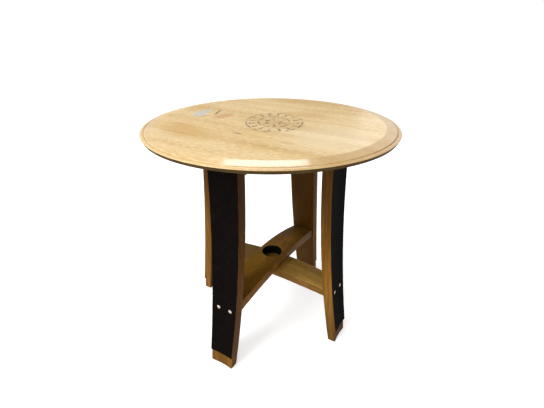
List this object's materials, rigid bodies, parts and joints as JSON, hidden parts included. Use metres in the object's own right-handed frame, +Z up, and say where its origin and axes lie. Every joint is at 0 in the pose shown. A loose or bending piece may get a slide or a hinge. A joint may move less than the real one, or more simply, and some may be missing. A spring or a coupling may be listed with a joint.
{
  "type": "tilt top table",
  "caption": "Low round side table made from barrel staves: board top that tilts up on a hidden pivot bolt, with a sliding catch, on curved charred legs and crossed stretchers.",
  "frame": {"origin": "on the floor, under the centre of the round top", "axes": "+Z up; front leg at -Y, right leg at +X; the boards of the top run along X; the tilt pivot's axis is parallel to X above the back leg"},
  "size_m": [0.58, 0.58, 0.5612],
  "materials": {
    "leg_front": "charred outer face, brown edges",
    "leg_right": "charred outer face, brown edges",
    "leg_back": "charred outer face, brown edges",
    "leg_left": "charred outer face, brown edges",
    "stretcher_upper": "weathered, grey-brown",
    "stretcher_lower": "weathered, grey-brown",
    "brace_long": "plain oak",
    "brace_cross": "plain oak",
    "leg_screw_front_a": "dull zinc",
    "leg_screw_front_b": "dull zinc",
    "leg_screw_right_a": "dull zinc",
    "leg_screw_right_b": "dull zinc",
    "leg_screw_back_a": "dull zinc",
    "leg_screw_back_b": "dull zinc",
    "leg_screw_left_a": "dull zinc",
    "leg_screw_left_b": "dull zinc",
    "brace_screw_front": "dull zinc",
    "brace_screw_right": "dull zinc",
    "brace_screw_back": "dull zinc",
    "brace_screw_left": "dull zinc",
    "cross_screw_a": "dull zinc",
    "cross_screw_b": "dull zinc",
    "brace_middle_screw": "dull zinc",
    "head_board_1": "clear varnish, honey oak",
    "head_board_2": "clear varnish, honey oak",
    "head_board_3": "clear varnish, honey oak",
    "head_board_4": "clear varnish, honey oak",
    "head_board_5": "clear varnish, honey oak",
    "head_board_6": "clear varnish, honey oak",
    "head_board_7": "clear varnish, honey oak",
    "batten_left": "plain oak",
    "batten_right": "plain oak",
    "batten_screw_left_1": "dull zinc",
    "batten_screw_left_2": "dull zinc",
    "batten_screw_left_3": "dull zinc",
    "batten_screw_left_4": "dull zinc",
    "batten_screw_left_5": "dull zinc",
    "batten_screw_left_6": "dull zinc",
    "batten_screw_left_7": "dull zinc",
    "batten_screw_right_1": "dull zinc",
    "batten_screw_right_2": "dull zinc",
    "batten_screw_right_3": "dull zinc",
    "batten_screw_right_4": "dull zinc",
    "batten_screw_right_5": "dull zinc",
    "batten_screw_right_6": "dull zinc",
    "batten_screw_right_7": "dull zinc",
    "pivot_bolt": "plain steel",
    "pivot_nut": "plain steel",
    "pivot_washer_left": "plain steel",
    "pivot_washer_right": "plain steel",
    "catch_pin": "plain steel",
    "catch_knob": "turned, oiled"
  },
  "bodies": {
    "base": {"leg_front": "leg_front", "leg_right": "leg_right", "leg_back": "leg_back", "leg_left": "leg_left", "stretcher_upper": "stretcher_upper", "stretcher_lower": "stretcher_lower", "brace_long": "brace_long", "brace_cross": "brace_cross", "leg_screw_front_a": "leg_screw_front_a", "leg_screw_front_b": "leg_screw_front_b", "leg_screw_right_a": "leg_screw_right_a", "leg_screw_right_b": "leg_screw_right_b", "leg_screw_back_a": "leg_screw_back_a", "leg_screw_back_b": "leg_screw_back_b", "leg_screw_left_a": "leg_screw_left_a", "leg_screw_left_b": "leg_screw_left_b", "brace_screw_front": "brace_screw_front", "brace_screw_right": "brace_screw_right", "brace_screw_back": "brace_screw_back", "brace_screw_left": "brace_screw_left", "cross_screw_a": "cross_screw_a", "cross_screw_b": "cross_screw_b", "brace_middle_screw": "brace_middle_screw"},
    "top": {"head_board_1": "head_board_1", "head_board_2": "head_board_2", "head_board_3": "head_board_3", "head_board_4": "head_board_4", "head_board_5": "head_board_5", "head_board_6": "head_board_6", "head_board_7": "head_board_7", "batten_left": "batten_left", "batten_right": "batten_right", "batten_screw_left_1": "batten_screw_left_1", "batten_screw_left_2": "batten_screw_left_2", "batten_screw_left_3": "batten_screw_left_3", "batten_screw_left_4": "batten_screw_left_4", "batten_screw_left_5": "batten_screw_left_5", "batten_screw_left_6": "batten_screw_left_6", "batten_screw_left_7": "batten_screw_left_7", "batten_screw_right_1": "batten_screw_right_1", "batten_screw_right_2": "batten_screw_right_2", "batten_screw_right_3": "batten_screw_right_3", "batten_screw_right_4": "batten_screw_right_4", "batten_screw_right_5": "batten_screw_right_5", "batten_screw_right_6": "batten_screw_right_6", "batten_screw_right_7": "batten_screw_right_7", "pivot_bolt": "pivot_bolt", "pivot_nut": "pivot_nut", "pivot_washer_left": "pivot_washer_left", "pivot_washer_right": "pivot_washer_right"},
    "catch": {"catch_pin": "catch_pin", "catch_knob": "catch_knob"}
  },
  "joints": [
    {"name": "top_tilt", "type": "hinge", "parent": "base", "child": "top", "pos_m": [0.0027, 0.1725, 0.5252], "axis": [-1, 0, 0], "range_deg": [0, 88]},
    {"name": "catch_slide", "type": "slide", "parent": "top", "child": "catch", "axis": [-1, 0, 0], "range_m": [0, 0.015]}
  ]
}
